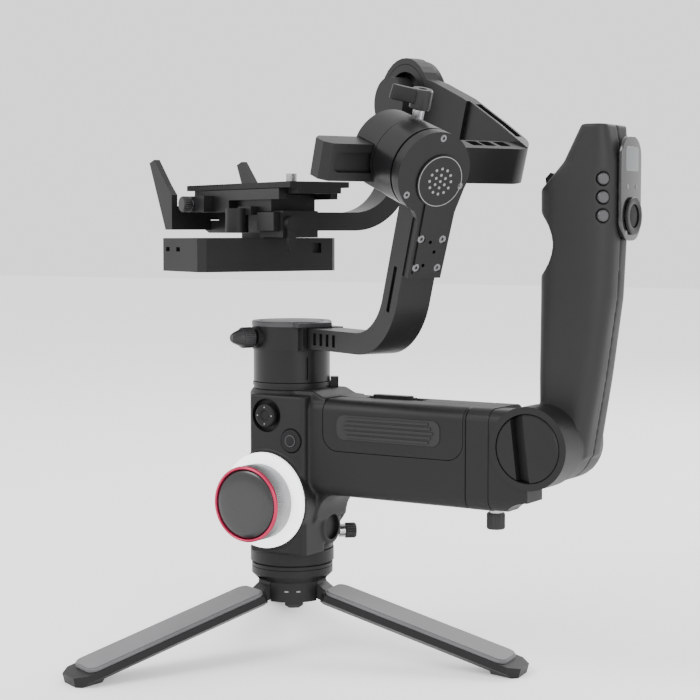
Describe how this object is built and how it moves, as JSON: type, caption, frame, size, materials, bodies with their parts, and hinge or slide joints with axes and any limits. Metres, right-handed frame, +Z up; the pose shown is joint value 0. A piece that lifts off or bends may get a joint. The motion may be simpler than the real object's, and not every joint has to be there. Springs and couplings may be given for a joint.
{
  "type": "camera gimbal",
  "caption": "Handheld three-axis camera stabiliser with battery grip, folding sling handle, adjustable arms, camera plate and folding mini tripod.",
  "frame": {"origin": "on the pan axis, at the mouth of the threaded socket in the underside of the tripod hub", "axes": "+Z up along the pan axis, +X along the battery grip toward the sling handle, -Y is the side with the handwheel"},
  "size_m": [0.3373, 0.264, 0.3599],
  "materials": {
    "black_plastic": "fine moulded texture",
    "satin_black_metal": "anodised, satin",
    "dark_trim": "smooth satin",
    "grey_rubber": "matte rubber",
    "black_rubber": "ribbed rubber",
    "white_diffuser": "frosted diffuser",
    "grey_knurl": "fine knurl",
    "red_trim": "anodised red",
    "steel": "bright",
    "cell_wrap": "shrink sleeve",
    "brass_contacts": "plated",
    "circuit_board": "solder mask",
    "copper_coils": "enamelled"
  },
  "bodies": {
    "handle": {"body_front_shell": "black_plastic", "body_rear_shell": "black_plastic", "battery_cells": "cell_wrap", "battery_contacts": "brass_contacts", "main_board": "circuit_board", "light_ring": "white_diffuser", "base_collar": "satin_black_metal", "pan_base_ring": "black_plastic", "pan_stator": "copper_coils", "adapter_housing": "black_plastic", "sling_pivot_pin": "steel", "tripod_hub": "black_plastic", "hub_stud": "steel", "leg_pins": "steel"},
    "handwheel": {"wheel_knob": "grey_knurl", "wheel_trim_ring": "red_trim", "wheel_face": "dark_trim"},
    "joystick_yoke": {"joystick_gimbal": "steel"},
    "joystick": {"joystick_cap": "dark_trim"},
    "mode_switch": {"mode_button": "dark_trim"},
    "battery_door": {"battery_cover": "black_plastic", "grip_pad": "black_rubber"},
    "battery_catch": {"battery_latch": "dark_trim"},
    "socket_screw": {"port_screw": "dark_trim"},
    "adapter_thumbscrew": {"adapter_screw": "dark_trim"},
    "sling_lock": {"sling_lock_knob": "dark_trim"},
    "tripod_leg_1": {"leg_1": "black_plastic", "leg_pad_1": "grey_rubber"},
    "tripod_leg_2": {"leg_2": "black_plastic", "leg_pad_2": "grey_rubber"},
    "tripod_leg_3": {"leg_3": "black_plastic", "leg_pad_3": "grey_rubber"},
    "sling_handle": {"sling_front_shell": "black_plastic", "sling_rear_shell": "black_plastic", "remote_pod": "black_plastic"},
    "thumb_button_1": {"sling_button_1": "dark_trim"},
    "thumb_button_2": {"sling_button_2": "dark_trim"},
    "thumb_button_3": {"sling_button_3": "dark_trim"},
    "finger_trigger": {"sling_trigger": "black_plastic"},
    "remote_dial": {"pod_dial": "dark_trim"},
    "pan_head": {"pan_housing": "satin_black_metal", "pan_clamp": "satin_black_metal", "pan_cap": "satin_black_metal"},
    "pan_lock": {"pan_lock_knob": "dark_trim"},
    "pan_arm_slide": {"pan_arm": "satin_black_metal", "roll_motor_housing": "satin_black_metal", "roll_cover_plate": "satin_black_metal", "arm_screws": "steel"},
    "roll_head": {"roll_rotor": "satin_black_metal"},
    "roll_clamp_lever": {"roll_lever": "dark_trim"},
    "roll_arm_slide": {"roll_arm": "satin_black_metal", "tilt_motor_housing": "satin_black_metal"},
    "tilt_head": {"tilt_arm": "satin_black_metal"},
    "cradle": {"cradle_base": "satin_black_metal", "module_box": "black_plastic"},
    "cradle_clamp_lever": {"cradle_lever": "dark_trim"},
    "quick_plate": {"camera_plate": "satin_black_metal"},
    "tripod_screw": {"camera_screw": "steel"},
    "plate_lock": {"plate_knob": "dark_trim"},
    "lens_rest": {"lens_support": "satin_black_metal"}
  },
  "joints": [
    {"name": "handwheel_turn", "type": "hinge", "parent": "handle", "child": "handwheel", "pos_m": [0, -0.04, 0.066], "axis": [0, -1, 0], "continuous": true},
    {"name": "joystick_up_down", "type": "hinge", "parent": "handle", "child": "joystick_yoke", "pos_m": [0, -0.017, 0.116], "axis": [1, 0, 0], "range_deg": [-10, 10], "stiffness_Nm_per_rad": 0.02},
    {"name": "joystick_left_right", "type": "hinge", "parent": "joystick_yoke", "child": "joystick", "pos_m": [0, -0.017, 0.116], "axis": [0, 0, 1], "range_deg": [-10, 10], "stiffness_Nm_per_rad": 0.02},
    {"name": "mode_button_press", "type": "slide", "parent": "handle", "child": "mode_switch", "axis": [0, 1, 0], "range_m": [0, 0.001], "stiffness_N_per_m": 300},
    {"name": "battery_cover_swing", "type": "hinge", "parent": "handle", "child": "battery_door", "pos_m": [0.08, -0.0223, 0.097], "axis": [1, 0, 0], "range_deg": [0, 90]},
    {"name": "battery_latch_slide", "type": "slide", "parent": "handle", "child": "battery_catch", "axis": [1, 0, 0], "range_m": [0, 0.004]},
    {"name": "socket_screw_turn", "type": "hinge", "parent": "handle", "child": "socket_screw", "pos_m": [0, 0, 0.0425], "axis": [0.7431, 0.6691, 0], "continuous": true},
    {"name": "adapter_screw_turn", "type": "hinge", "parent": "handle", "child": "adapter_thumbscrew", "pos_m": [0.138, 0, 0.062], "axis": [0, 0, 1], "continuous": true},
    {"name": "sling_lock_turn", "type": "hinge", "parent": "handle", "child": "sling_lock", "pos_m": [0.168, -0.018, 0.107], "axis": [0, -1, 0], "range_deg": [0, 90]},
    {"name": "leg_1_fold", "type": "hinge", "parent": "handle", "child": "tripod_leg_1", "pos_m": [0.0149, 0.00175, 0.012], "axis": [-0.1167, 0.9932, 0], "range_deg": [0, 75]},
    {"name": "leg_2_fold", "type": "hinge", "parent": "handle", "child": "tripod_leg_2", "pos_m": [-0.00896, 0.01203, 0.012], "axis": [-0.8018, -0.5976, 0], "range_deg": [0, 75]},
    {"name": "leg_3_fold", "type": "hinge", "parent": "handle", "child": "tripod_leg_3", "pos_m": [-0.00593, -0.01378, 0.012], "axis": [0.9184, -0.3955, 0], "range_deg": [0, 75]},
    {"name": "sling_fold", "type": "hinge", "parent": "handle", "child": "sling_handle", "pos_m": [0.168, 0.015, 0.107], "axis": [0, 1, 0], "range_deg": [0, 90]},
    {"name": "thumb_button_1_press", "type": "slide", "parent": "sling_handle", "child": "thumb_button_1", "axis": [-0.7071, 0.7071, 0], "range_m": [0, 0.0008], "stiffness_N_per_m": 300},
    {"name": "thumb_button_2_press", "type": "slide", "parent": "sling_handle", "child": "thumb_button_2", "axis": [-0.7071, 0.7071, 0], "range_m": [0, 0.0008], "stiffness_N_per_m": 300},
    {"name": "thumb_button_3_press", "type": "slide", "parent": "sling_handle", "child": "thumb_button_3", "axis": [-0.7071, 0.7071, 0], "range_m": [0, 0.0008], "stiffness_N_per_m": 300},
    {"name": "trigger_pull", "type": "hinge", "parent": "sling_handle", "child": "finger_trigger", "pos_m": [0.1702, 0.0153, 0.249], "axis": [0, 1, 0], "range_deg": [0, 10], "stiffness_Nm_per_rad": 0.02},
    {"name": "remote_dial_turn", "type": "hinge", "parent": "sling_handle", "child": "remote_dial", "pos_m": [0.2085, 0.0226, 0.2326], "axis": [1, 0, 0], "continuous": true},
    {"name": "pan_turn", "type": "hinge", "parent": "handle", "child": "pan_head", "pos_m": [0, 0, 0.15], "axis": [0, 0, 1], "continuous": true},
    {"name": "pan_lock_turn", "type": "hinge", "parent": "pan_head", "child": "pan_lock", "pos_m": [-0.01096, -0.02247, 0.1615], "axis": [-0.4384, -0.8988, 0], "continuous": true},
    {"name": "pan_arm_adjust", "type": "slide", "parent": "pan_head", "child": "pan_arm_slide", "axis": [0.8988, -0.4384, 0], "range_m": [-0.012, 0.004]},
    {"name": "roll_turn", "type": "hinge", "parent": "pan_arm_slide", "child": "roll_head", "pos_m": [0.10258, -0.05003, 0.26592], "axis": [0.8548, -0.4169, -0.309], "range_deg": [-60, 60]},
    {"name": "roll_lever_turn", "type": "hinge", "parent": "roll_head", "child": "roll_clamp_lever", "pos_m": [0.11485, -0.046, 0.29445], "axis": [0.2777, -0.1355, 0.9511], "range_deg": [0, 120]},
    {"name": "roll_arm_adjust", "type": "slide", "parent": "roll_head", "child": "roll_arm_slide", "axis": [0.4384, 0.8988, 0], "range_m": [-0.01, 0.01]},
    {"name": "tilt_turn", "type": "hinge", "parent": "roll_arm_slide", "child": "tilt_head", "pos_m": [0.03726, 0.0764, 0.303], "axis": [0.4384, 0.8988, 0], "range_deg": [-50, 80]},
    {"name": "cradle_side_adjust", "type": "slide", "parent": "tilt_head", "child": "cradle", "axis": [0.4384, 0.8988, 0], "range_m": [-0.012, 0.012]},
    {"name": "cradle_lever_turn", "type": "hinge", "parent": "cradle", "child": "cradle_clamp_lever", "pos_m": [0.01022, -0.01555, 0.229], "axis": [0.8988, -0.4384, 0], "range_deg": [0, 90]},
    {"name": "plate_fore_aft", "type": "slide", "parent": "cradle", "child": "quick_plate", "axis": [0.8988, -0.4384, 0], "range_m": [-0.015, 0.01]},
    {"name": "camera_screw_turn", "type": "hinge", "parent": "quick_plate", "child": "tripod_screw", "pos_m": [0, 0, 0.253], "axis": [0, 0, 1], "continuous": true},
    {"name": "plate_lock_turn", "type": "hinge", "parent": "cradle", "child": "plate_lock", "pos_m": [-0.08107, 0.01172, 0.241], "axis": [-0.4384, -0.8988, 0], "continuous": true},
    {"name": "lens_support_slide", "type": "slide", "parent": "cradle", "child": "lens_rest", "axis": [0.8988, -0.4384, 0], "range_m": [-0.002, 0.008]}
  ]
}
